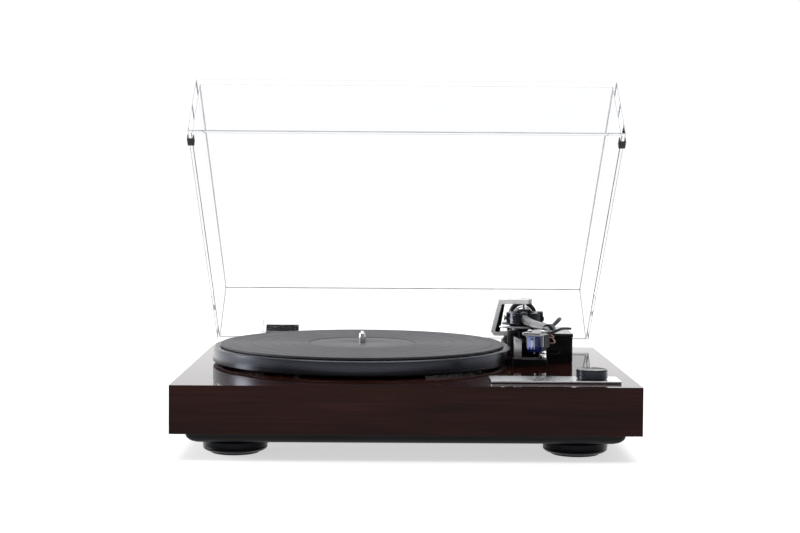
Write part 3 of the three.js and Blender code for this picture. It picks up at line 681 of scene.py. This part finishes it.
foot_top = TRAY_BOTTOM - 0.3
foot_bottom = FLOOR_Z
foot_profile = rounded([
    (0, foot_bottom + 1.6), (22.8, foot_bottom + 1.6), (26.4, foot_bottom + 2.3),
    (28.8, foot_bottom + 3.9), (29.6, foot_bottom + 5.6), (28.9, foot_bottom + 6),
    (28.9, foot_bottom + 6.8), (29.6, foot_bottom + 7.2), (29.6, foot_top - 1.8),
    (28.9, foot_top), (0, foot_top),
], 0.5)
pad_profile = rounded([
    (0, foot_bottom), (21.6, foot_bottom), (22.6, foot_bottom + 0.7), (22.6, foot_bottom + 1.5),
    (0, foot_bottom + 1.5),
], 0.5)
for corner, x, y in (
    ("front_left", -FOOT_X, FOOT_FRONT), ("front_right", FOOT_X, FOOT_FRONT),
    ("rear_left", -FOOT_X, FOOT_BACK), ("rear_right", FOOT_X, FOOT_BACK),
):
    at = shift(x, y, 0)
    piece(
        f"foot_{corner}_body", lathe(foot_profile, 128), "base", FOOT_BODY, at,
        (f"foot_{corner}",),
    )
    piece(f"foot_{corner}_pad", lathe(pad_profile, 96), "base", FOOT_PAD, at)

# ------------------------------------------------------------------ control plate and knob
from_node("speed_plate", "control_plate", "base", PLATE_METAL, 0.35)
carried("speed_switch", STEEL)
knob_at = shift(*KNOB, 0)
knob_side = [(14.2, 3.6)]
for k in range(5):
    z = 4.6 + k * 1.35
    knob_side += [(14.2, z), (14.02, z + 0.18), (14.02, z + 0.42), (14.2, z + 0.6)]
knob_profile = [
    (0, 2.7), (13.2, 2.7), (13.6, 3.1), (14.0, 3.2), *knob_side, (14.2, 10.9), (14.05, 11.25),
    (13.7, 11.5), (12.6, 11.5), (12.3, 11.3), (0, 11.3),
]
piece(
    "speed_knob_cap", lathe(knob_profile, 128), "knob", ANODISED, knob_at,
    ("speed_knob",), smooth=40,
)
piece(
    "speed_knob_mark", box((-0.45, 0.45), (8.2, 12.0), (11.2, 11.42)), "knob",
    WHITE_INK, knob_at, edge=0.08,
)
for index, angle in enumerate((90, 45, 0)):
    spot = knob_at @ turn(angle, "Z") @ shift(17.2, 0, 0)
    piece(
        f"speed_dot_{index}", lathe(rounded([(0, 2.38), (0.75, 2.38), (0.75, 2.5), (0, 2.5)],
        0.05), 24), "base", WHITE_INK, spot,
    )

# ------------------------------------------------------------------ platter, mat and drive
spindle_at = shift(*SPINDLE, 0)
platter_profile = rounded([
    (3.8, 12.7), (141.5, 12.7), (141.5, 2.6), (147.9, 2.6), (148.5, 3.4), (148.5, 15.9),
    (147.7, 16.9), (141.9, 16.9), (141.6, 16.6), (3.8, 16.6),
], 0.35, 2)
piece(
    "platter_disc", loop_lathe(platter_profile, 256), "platter", PLATTER_METAL,
    spindle_at, ("platter",), smooth=40,
)

MAT_GROOVES = (62, 72, 82, 93, 112, 131)
mat_top = 19.7
mat_profile = [(3.9, 17.2), (140.4, 17.2), (141, 17.6), (141, 19.1), (140.7, 19.55), (140, mat_top)]
radius = 138.0
while radius > 54.5:
    groove = next((g for g in MAT_GROOVES if abs(radius - g) < 1.0), None)
    if groove:
        mat_profile += [(radius, mat_top), (radius - 0.25, 19.32), (radius - 0.95, 19.32),
                        (radius - 1.2, mat_top)]
        radius -= 2.0
    else:
        mat_profile += [(radius, mat_top), (radius - 0.35, 19.56), (radius - 0.7, mat_top)]
        radius -= 1.5
mat_profile += [(54.0, mat_top), (53.6, 18.7), (52.6, 18.7), (52.3, 19.3), (51.6, 19.4),
                (9, 19.4), (8.7, 19.3), (3.9, 19.3)]
piece(
    "slip_mat_disc", loop_lathe(mat_profile, 224), "platter", MAT, spindle_at,
    ("slip_mat",), smooth=24,
)
spindle_profile = rounded([
    (0, -19), (3.5, -19), (3.5, 25.1), (2.9, 28.4), (1.1, 31), (0, 31.3),
], 0.5)
piece(
    "spindle_pin", lathe(spindle_profile, 64), "platter", STEEL, spindle_at,
    ("spindle",), smooth=40,
)
for node, material in (
    ("bearing_well", BRASS), ("thrust_ball", STEEL), ("drive_ring", PLASTIC),
    ("drive_belt", BELT), ("motor_pulley", BRASS), ("motor", STEEL), ("circuit_board", BOARD),
):
    carried(node, material)

# ------------------------------------------------------------------ rear connectors
from_node("connector_panel", "rear_panel", "base", PLASTIC, 0.35)
from_node("gain_switch", "gain_slider", "gain", PLASTIC, 0.25)
from_node("power_socket", "power_jack", "base", PLASTIC, 0.25)
for side, x in (("left", 14), ("right", 32)):
    at = shift(x, PLINTH_DEPTH, JACK_Z) @ ALONG_Y
    jack = rounded([
        (0, -9), (4.1, -9), (4.1, 2.6), (6, 2.6), (6, 3.8), (4.1, 3.8), (4.1, 10.1),
        (3.7, 10.5), (1.7, 10.5), (1.7, 2), (0, 2),
    ], 0.2, 2)
    piece(
        f"phono_socket_{side}", lathe(jack, 48), "base", BRASS, at,
        (f"phono_jack_{side}",), smooth=40,
    )
NUT_STEPS = 96
nut = []
for k in range(NUT_STEPS):
    bump_radius = 5.0 if k % 4 in (0, 1) else 4.75
    angle = 2 * math.pi * k / NUT_STEPS
    nut.append((bump_radius * math.cos(angle), bump_radius * math.sin(angle)))
piece(
    "ground_nut", merged(prism(nut, 2.7, 6.9), lathe(rounded(
        [(0, -6), (2.2, -6), (2.2, 7.6), (1.8, 8), (0, 8)], 0.2), 32)),
    "ground", STEEL, shift(48, PLINTH_DEPTH, JACK_Z) @ ALONG_Y, ("ground_terminal",),
)

# ------------------------------------------------------------------ dust cover and hinges
from_node(
    "cover_shell", "dust_cover", "cover", ACRYLIC, 0.75, 2,
    edge_look=ACRYLIC_EDGE,
)
for side in ("left", "right"):
    from_node(
        f"hinge_block_{side}", f"hinge_bracket_{side}", "base", PLASTIC, 0.5
    )
    from_node(
        f"hinge_arm_{side}", f"hinge_leaf_{side}", "cover", PLASTIC, 0.4
    )
    from_node(
        f"hinge_pocket_{side}", f"hinge_sleeve_{side}", "cover", ACRYLIC, 1.0, 2,
        edge_look=ACRYLIC_EDGE,
    )
    from_node(
        f"cover_pad_{side}", f"cover_bumper_{side}", "cover", RUBBER, 0.5
    )
    carried(f"hinge_pin_{side}", STEEL)

# ------------------------------------------------------------------ tonearm stand
stand_at = shift(*ARM, 0)
pedestal = rounded([
    (5.3, 0.3), (24.5, 0.3), (24.5, 13), (20.5, 17.5), (12, 17.5), (12, 26.6), (5.3, 26.6),
], 2.0, 5)
piece(
    "arm_base", loop_lathe(pedestal, 128), "base", GLOSS, stand_at,
    ("arm_pedestal",), smooth=40,
)
# The bridge frame's near-white colour is a painted reflection of the white room in its chrome.
from_node("bridge_frame", "arm_bridge", "base", CHROME_PAINTED_WHITE, 0.9)
# Painted shade: a black band along the bridge frame's inner edge, where the chrome shows dark
# reflection and shadow.
piece(
    "bridge_shade_band", upright(rounded([(97.3, 23), (99.5, 22), (102.5, 22.4), (107.4, 51.7),
                                     (104.2, 51.7)], 1.2, closed=True), (288.6, 303.4)),
    "base", PLASTIC, edge=0.3,
)
piece(
    "bridge_end", box((132.6, 136.5), (288.7, 303.3), (51.6, 57.2)), "base",
    ALUMINIUM, edge=0.6,
)
piece(
    "pivot_cap", lathe(rounded([
        (0, 45.9), (2, 45.9), (2, 57.3), (3.4, 57.3), (3.4, 57.7), (2.9, 58.0), (0, 58.0),
    ], 0.15), 48), "base", STEEL, stand_at, ("pivot_screw",), smooth=40,
    cuts=(box((-0.4, 0.4), (-4, 4), (57.6, 59)),),
)

# ------------------------------------------------------------------ gimbal bearing
drum = lathe(rounded([
    (0, 27), (16, 27), (16, 30), (23.5, 30), (23.5, 31.4), (19, 31.4), (19, 42.5), (12.6, 42.5),
    (12.6, 28.6), (0, 28.6),
], 0.3, 2), 128)
piece(
    "gimbal_drum", drum, "arm_bearing", ANODISED, ARM_AT, ("gimbal_ring",),
    joins=(
        upright([
            (-14, 42.5), (-14, 39.5), (-12, 39.5), (-6.4, 41.5), (-4.8, 43.7), (4.8, 43.7),
            (6.4, 41.5), (12, 39.5), (14, 39.5), (14, 42.5), (9.5, 42.5), (6, 45.6), (-6, 45.6),
            (-9.5, 42.5),
        ], (-4, 4)),
        box((14, 19.8), (-7, 7), (24, 43.5)), lathe([(0, 6), (5, 6), (5, 28), (0, 28)], 48),
    ),
    cuts=(
        box((-6, 6), (-26, -11.6), (31, 43.5)), box((-5.5, 5.5), (11.6, 26), (31, 43.5)),
        box((-5.5, 5.5), (12, 26), (26, 32)),
        placed(lathe([(0, -25), (2.3, -25), (2.3, 25), (0, 25)], 32),
               shift(0, 0, PIVOT_Z) @ ALONG_X),
    ),
    smooth=30,
)
pin = lathe(rounded([(0, 4), (2, 4), (2, 20.2), (3.2, 20.2), (3.2, 21.2), (2.6, 21.6),
                     (0, 21.6)], 0.2), 40)
for side, flip in (("right", 0), ("left", 180)):
    piece(
        f"bearing_screw_{side}", pin, "arm_bearing", STEEL,
        ARM_AT @ shift(0, 0, PIVOT_Z) @ turn(flip, "Z") @ ALONG_X, (f"bearing_pin_{side}",),
        cuts=(box((-0.4, 0.4), (-4, 4), (21.1, 22)),), smooth=40,
    )

# ------------------------------------------------------------------ tonearm
axis_at = ARM_AT @ shift(0, 0, PIVOT_Z)
piece(
    "arm_hub", lathe(rounded([(0, -8.5), (5.2, -8.5), (5.8, -7.6), (5.8, 7.6), (5.2, 8.5),
                              (0, 8.5)], 0.3), 64),
    "tonearm", ANODISED, axis_at @ ALONG_Y, ("arm_block",),
    cuts=(
        placed(lathe([(0, 3.6), (2.3, 3.6), (2.3, 8), (0, 8)], 32), turn(90, "X") @ ALONG_X),
        placed(lathe([(0, -8), (2.3, -8), (2.3, -3.6), (0, -3.6)], 32),
               turn(90, "X") @ ALONG_X),
    ),
)
heading = Vector((math.sin(shell_angle), math.cos(shell_angle), 0))
shell_start = Vector((
    SHELL_BACK * math.sin(shell_angle), SHELL_BACK * math.cos(shell_angle) - ARM_REACH, SHELL_Z
))
tube_path = bezier(
    (0, -8.8, PIVOT_Z), (0, -130, PIVOT_Z + 1.5), shell_start + heading * 15, shell_start, 96
)
piece(
    "arm_pipe", sweep(tube_path, 4.5, 40), "tonearm", SATIN, ARM_AT,
    ("arm_tube",), edge=0.4, smooth=40, angle=60,
)
piece(
    "weight_stub", lathe(rounded([(0, 8.8), (3.2, 8.8), (3.2, 45.4), (2.6, 46), (0, 46)], 0.3),
                         48),
    "tonearm", STEEL, axis_at @ ALONG_Y, ("weight_shaft",), smooth=40,
)
dial_profile = rounded([(3.5, 26), (8.2, 26), (8.6, 26.6), (10.9, 26.6), (11.2, 27),
                        (11.2, 29), (3.5, 29)], 0.25, 2)
piece(
    "force_ring", loop_lathe(dial_profile, 96), "dial", CHROME, axis_at @ ALONG_Y,
    ("force_dial",), smooth=40,
)
weight_profile = rounded([
    (3.5, 29.3), (14.5, 29.3), (15.5, 30.3), (15.5, 34), (15.1, 34.2), (15.1, 34.9),
    (15.5, 35.1), (15.5, 43.3), (14.3, 44.5), (3.5, 44.5),
], 0.4, 2)
piece(
    "balance_weight", loop_lathe(weight_profile, 128), "weight", ANODISED,
    axis_at @ ALONG_Y, ("counterweight",), smooth=40,
)

# ------------------------------------------------------------------ headshell and cartridge
collar = [(0, -8.3)]
for k in range(5):
    y = -8.3 + k * 1.6
    collar += [(5.5, y), (5.8, y + 0.3), (5.8, y + 1.0), (5.5, y + 1.3)]
collar += [(5.5, -0.4), (5.2, -0.3), (0, -0.3)]
piece(
    "lock_collar", lathe(collar, 72), "collar", ANODISED, SHELL_AT @ ALONG_Y,
    ("headshell_collar",), smooth=50,
)
shell_outline = rounded([
    (-8.75, -57.5), (8.75, -57.5), (8.75, -22), (5.2, -15), (-5.2, -15), (-8.75, -22),
], 2.8, 5, closed=True)
neck = placed(
    lathe(rounded([(0, 8.6), (4, 8.6), (4, 16), (3.2, 18.5), (0, 18.5)], 0.5), 48),
    turn(180, "Z") @ ALONG_Y,
)
slot_holes = [
    prism(pill((side * 6.35 - 1.3, side * 6.35 + 1.3), (-47, -36), 1.25), -3, 3)
    for side in (-1, 1)
]
piece(
    "shell_plate", prism(shell_outline, -1.3, 1.4), "tonearm", SATIN, SHELL_AT,
    ("headshell",), joins=(neck,), cuts=slot_holes, edge=0.35, segments=2, angle=50,
)
screw = rounded([
    (0, -2.2), (1.05, -2.2), (1.05, 1.5), (2.1, 1.5), (2.1, 2.6), (1.7, 3.1), (0.9, 3.1),
    (0.9, 2.0), (0, 2.0),
], 0.15, 2)
for side, x in (("left", -6.35), ("right", 6.35)):
    piece(
        f"shell_screw_{side}", lathe(screw, 32), "tonearm", STEEL,
        SHELL_AT @ shift(x, -41, 0), smooth=40,
    )
LIFT_STEPS = 24
lift_root = 9.05
lift_line = bezier((lift_root, 0, -0.1), (lift_root + 6.5, 0, 0.0), (lift_root + 7.5, 0, 5.6),
                   (lift_root + 20, 0, 4.2), LIFT_STEPS)
lift_verts, lift_faces = [], []
for k, point in enumerate(lift_line):
    ahead = lift_line[min(k + 1, LIFT_STEPS)] - lift_line[max(k - 1, 0)]
    normal = Vector((-ahead.z, 0, ahead.x)).normalized() * 1.1
    half = max(1.9, 6.6 - 0.42 * (point.x - lift_root))
    for offset, y in ((normal, -half), (normal, half), (-normal, half), (-normal, -half)):
        spot = point + offset
        lift_verts.append((spot.x, -26 + y, spot.z))
for k in range(LIFT_STEPS):
    for j in range(4):
        n = (j + 1) % 4
        lift_faces.append([k * 4 + j, k * 4 + n, k * 4 + 4 + n, k * 4 + 4 + j])
lift_faces += [[3, 2, 1, 0], [LIFT_STEPS * 4 + j for j in range(4)]]
piece(
    "finger_hook", (lift_verts, lift_faces), "tonearm", ANODISED_FLAT,
    SHELL_AT, ("finger_lift",), edge=0.3,
)
piece(
    "cartridge_body", box((-8.2, 8.2), (-42, -26), (-14, -1.6)), "tonearm",
    CARTRIDGE_PLASTIC, SHELL_AT, ("cartridge",), joins=(box((-6.6, 6.6), (-42, -30), (-17, -13)),),
    edge=0.6,
)
for index, (x, z) in enumerate(((-4.5, -4.2), (4.5, -4.2), (-4.5, -9.4), (4.5, -9.4))):
    piece(
        f"cartridge_pin_{index}",
        lathe(rounded([(0, 25.8), (0.6, 25.8), (0.6, 28.6), (0, 29)], 0.1), 20),
        "tonearm", BRASS, SHELL_AT @ shift(x, 0, z) @ turn(180, "Z") @ ALONG_Y,
    )
leads = []
for x, z, bow in ((-4.5, -4.2, 1.4), (4.5, -4.2, 7.5), (-4.5, -9.4, -3.2), (4.5, -9.4, 9.5)):
    end = (x * 0.42, -15.4, -2.9 if z < -5 else -1.8)
    leads.append(sweep(bezier(
        (x, -25.6, z), (x + bow, -22.5, z - 2.4), (x + bow, -16.5, z - 0.5), end, 28
    ), 0.5, 10))
piece(
    "cartridge_leads", merged(*leads), "tonearm", LEAD_WIRE, SHELL_AT, smooth=60,
)


def stylus_guard():
    """The blue stylus holder: a faceted front that narrows towards its forked foot."""
    levels = (
        (-1.9, 8.0, 5.9, -50.0), (-12.0, 8.0, 5.7, -50.2), (-14.6, 7.2, 5.2, -49.2),
        (-17.4, 6.0, 4.4, -46.6),
    )
    verts, faces = [], []
    for z, half, front_half, front in levels:
        verts += [
            (-half, -42.3, z), (-half, -46.2, z), (-front_half, front, z),
            (front_half, front, z), (half, -46.2, z), (half, -42.3, z),
        ]
    corners = len(verts) // len(levels)
    last = len(verts) - corners
    for low in range(0, last, corners):
        high = low + corners
        for k in range(corners):
            n = (k + 1) % corners
            faces.append([low + k, low + n, high + n, high + k])
    faces.append(list(range(corners)))
    faces.append([last + k for k in reversed(range(corners))])
    return verts, faces


piece(
    "stylus_holder", stylus_guard(), "tonearm", BLUE, SHELL_AT,
    ("stylus_assembly",), edge=0.35,
    cuts=(
        box((-3.7, -2.3), (-51, -44.5), (-18, -14.4)), box((-0.5, 0.9), (-51, -44.5), (-18, -14.4)),
    ),
)
piece(
    "stylus_facet", box((-5.5, 1.9), (-50.7, -49.8), (-14.2, -2.2)),
    "tonearm", PALE_BLUE, SHELL_AT, edge=0.25,
    cuts=(box((-3.7, -2.3), (-51, -49), (-15, -12.4)), box((-0.5, 0.9), (-51, -49), (-15, -12.4))),
)
piece(
    "stylus_core", box((-1.8, 0.1), (-51.0, -50.5), (-12.0, -6.0)), "tonearm",
    WHITE_INK, SHELL_AT, edge=0.12,
)
piece(
    "stylus_tab", box((-2.4, 0.7), (-51.1, -50.4), (-5.6, -3.6)), "tonearm",
    TAB_PLASTIC, SHELL_AT, edge=0.15,
)
piece(
    "stylus_needle", merged(
        sweep([(0, -43.5, -16.4), (0, -47.4, -18.4)], 0.35, 12),
        placed(lathe([(0, -19.4), (0.3, -18.6), (0.3, -18.0), (0, -18.0)], 12),
               shift(0, -47.2, 0)),
    ), "tonearm", STEEL, SHELL_AT, smooth=60,
)

# ------------------------------------------------------------------ cueing gear
box_outline = pill((138.7, 168.7), (190.5, 269.5), 1.8)
cap_outline = pill((138.2, 169.3), (190, 270), 2.0)
lever_slot = box((143.1, 148.3), (196, 216), (16, 32))
handle_room = box((143.1, 151.2), (201, 219.5), (24.4, 32))
piece(
    "cue_housing", prism(box_outline, 0.3, 25.6), "base", GLOSS,
    cuts=(lever_slot, handle_room), replaces=("cue_box",), edge=0.5,
)
piece(
    "cue_lid", prism(cap_outline, 25.9, 29.5), "base", GLOSS,
    cuts=(lever_slot, handle_room), edge=0.6,
)
LEVER = Vector((145.7, 205, 24))
lever_tip = Vector((12.3, 0, 20.5))
lever_root = Vector((0, 0, 4))
lever_bend = Vector((0.3, 0, 8.2))
lever_path = [lever_root, lever_root.lerp(lever_bend, 0.5), lever_bend]
lever_path += [lever_bend.lerp(lever_tip, t / 10) for t in range(1, 11)]
lever_radii = [1.6] * 3 + [1.75 + 0.05 * t for t in range(1, 9)] + [2.15, 1.7]
lever_hub = placed(
    lathe(rounded([(0, -2.2), (6, -2.2), (6, 2.2), (0, 2.2)], 0.4), 64), ALONG_X
)
piece(
    "cue_handle", merged(lever_hub, sweep(lever_path, lever_radii, 24)), "lever",
    SATIN, shift(*LEVER), ("cue_lever",), smooth=40,
)
cylinder_profile = rounded([
    (1.8, 8), (1.8, 26.2), (5.2, 26.2), (5.2, 25), (6.3, 24.4), (6.3, 3.4), (6.9, 3.0),
    (6.9, 0.3), (0, 0.3), (0, 8),
], 0.25, 2)
piece(
    "cue_tube", lathe(cylinder_profile, 72), "base", PLASTIC,
    shift(*CUE_CYLINDER, 0), ("cue_cylinder",), smooth=40,
)
rail_outline = arc(35.6, -142, 58) + arc(32.4, -84, -58)
piece(
    "cue_arc", merged(prism(rail_outline, 27.8, 29.8), placed(
        lathe(rounded([(0, 9), (1.5, 9), (1.5, 27.9), (0, 27.9)], 0.2), 32),
        shift(CUE_CYLINDER[0] - ARM[0], CUE_CYLINDER[1] - ARM[1], 0))),
    "rail", ALUMINIUM, stand_at, ("cue_rail",), edge=0.35, segments=2, angle=50,
)

# ------------------------------------------------------------------ arm rest and anti-skate
from_node("rest_plate", "rest_upright", "base", ALUMINIUM, 0.35)
from_node("rest_saddle", "rest_cradle", "base", PLASTIC, 0.5)
piece(
    "rest_stud", lathe(rounded([
        (0, 6.2), (3.2, 6.2), (3.2, 11.5), (2.7, 11.8), (2.7, 12.4), (3.2, 12.8), (3.2, 14.6),
        (2.2, 15.8), (0, 16.1),
    ], 0.4), 48), "base", CHROME, shift(*REST_STUD, 0), smooth=40,
)
from_node("rest_hook", "rest_clip", "clip", PLASTIC, 0.35)
skate_profile = rounded([
    (0, 0.3), (10.5, 0.3), (10.5, 3.6), (10.1, 4), (9.2, 4.4), (9, 5), (9, 11.7), (8.2, 12.5),
    (0, 12.5),
], 0.3, 2)
piece(
    "skate_dial", lathe(skate_profile, 96), "skate", ANODISED,
    shift(*SKATE_DIAL, 0), ("skate_knob",), smooth=40,
)
piece(
    "skate_mark", box((-0.4, 0.4), (-7.4, -3.4), (12.4, 12.62)), "skate",
    WHITE_INK, shift(*SKATE_DIAL, 0), edge=0.08,
)

# ------------------------------------------------------------------ studio
FLOOR_HALF = 40  # metres
FRONT_LIGHT, BACK_LIGHT = 0.3, 1.6
SEEN_LIGHT = 1.02  # the sky where it is looked at, straight or through the clear cover

floor_mesh = bpy.data.meshes.new("floor")
floor_mesh.from_pydata(
    [(-FLOOR_HALF, -FLOOR_HALF, 0), (FLOOR_HALF, -FLOOR_HALF, 0), (FLOOR_HALF, FLOOR_HALF, 0),
     (-FLOOR_HALF, FLOOR_HALF, 0)], [], [[0, 1, 2, 3]]
)
floor = bpy.data.objects.new("floor", floor_mesh)
bpy.context.scene.collection.objects.link(floor)
floor.location = (0, 0, ORIGIN.z + FLOOR_Z * MM)
floor_look = Graph(
    "studio_floor", Roughness=0.9, Specular_IOR_Level=0.0, Emission_Color=(1, 1, 1, 1),
    Emission_Strength=0.6,
)
floor_look.link(
    floor_look.ramp(noise(floor_look, floor_look.place(), 3, 2), (0.5, 0.5, 0.5),
                    (0.52, 0.52, 0.52)),
    "Base Color",
)
floor_mesh.materials.append(floor_look.material)

world = bpy.data.worlds.new("studio")
bpy.context.scene.world = world
world.use_nodes = True
sky = world.node_tree
background = sky.nodes["Background"]
direction = sky.nodes.new("ShaderNodeTexCoord")
split = sky.nodes.new("ShaderNodeSeparateXYZ")
sky.links.new(direction.outputs["Generated"], split.inputs[0])
depth = sky.nodes.new("ShaderNodeMapRange")
depth.inputs["From Min"].default_value = -0.5
depth.inputs["From Max"].default_value = 0.8
depth.inputs["To Min"].default_value = FRONT_LIGHT
depth.inputs["To Max"].default_value = BACK_LIGHT
sky.links.new(split.outputs[1], depth.inputs["Value"])
seen = sky.nodes.new("ShaderNodeLightPath")
strength = sky.nodes.new("ShaderNodeMix")
straight = sky.nodes.new("ShaderNodeMath")
straight.operation = "MAXIMUM"
sky.links.new(seen.outputs["Is Camera Ray"], straight.inputs[0])
sky.links.new(seen.outputs["Is Transmission Ray"], straight.inputs[1])
sky.links.new(straight.outputs[0], strength.inputs[0])
sky.links.new(depth.outputs[0], strength.inputs[2])
strength.inputs[3].default_value = SEEN_LIGHT
sky.links.new(strength.outputs[0], background.inputs["Strength"])
background.inputs["Color"].default_value = (1, 1, 1, 1)


def softbox(name, spot, target, width, height, power):
    """A rectangular lamp at spot that faces the target."""
    data = bpy.data.lights.new(name, "AREA")
    data.shape = "RECTANGLE"
    data.size, data.size_y = width, height
    data.energy = power
    lamp = bpy.data.objects.new(name, data)
    bpy.context.scene.collection.objects.link(lamp)
    lamp.location = spot
    aim = Vector(target) - Vector(spot)
    lamp.rotation_mode = "QUATERNION"
    lamp.rotation_quaternion = aim.to_track_quat("-Z", "Y")


softbox("top_softbox", (0, 0.1, 2.2), (0, 0, 0), 2.6, 2.2, 60)
softbox("left_softbox", (-2.1, 0.3, 0.55), (-0.1, 0, 0.05), 0.6, 0.8, 30)

bpy.context.scene.view_settings.view_transform = "Standard"
bpy.context.scene.view_settings.look = "None"
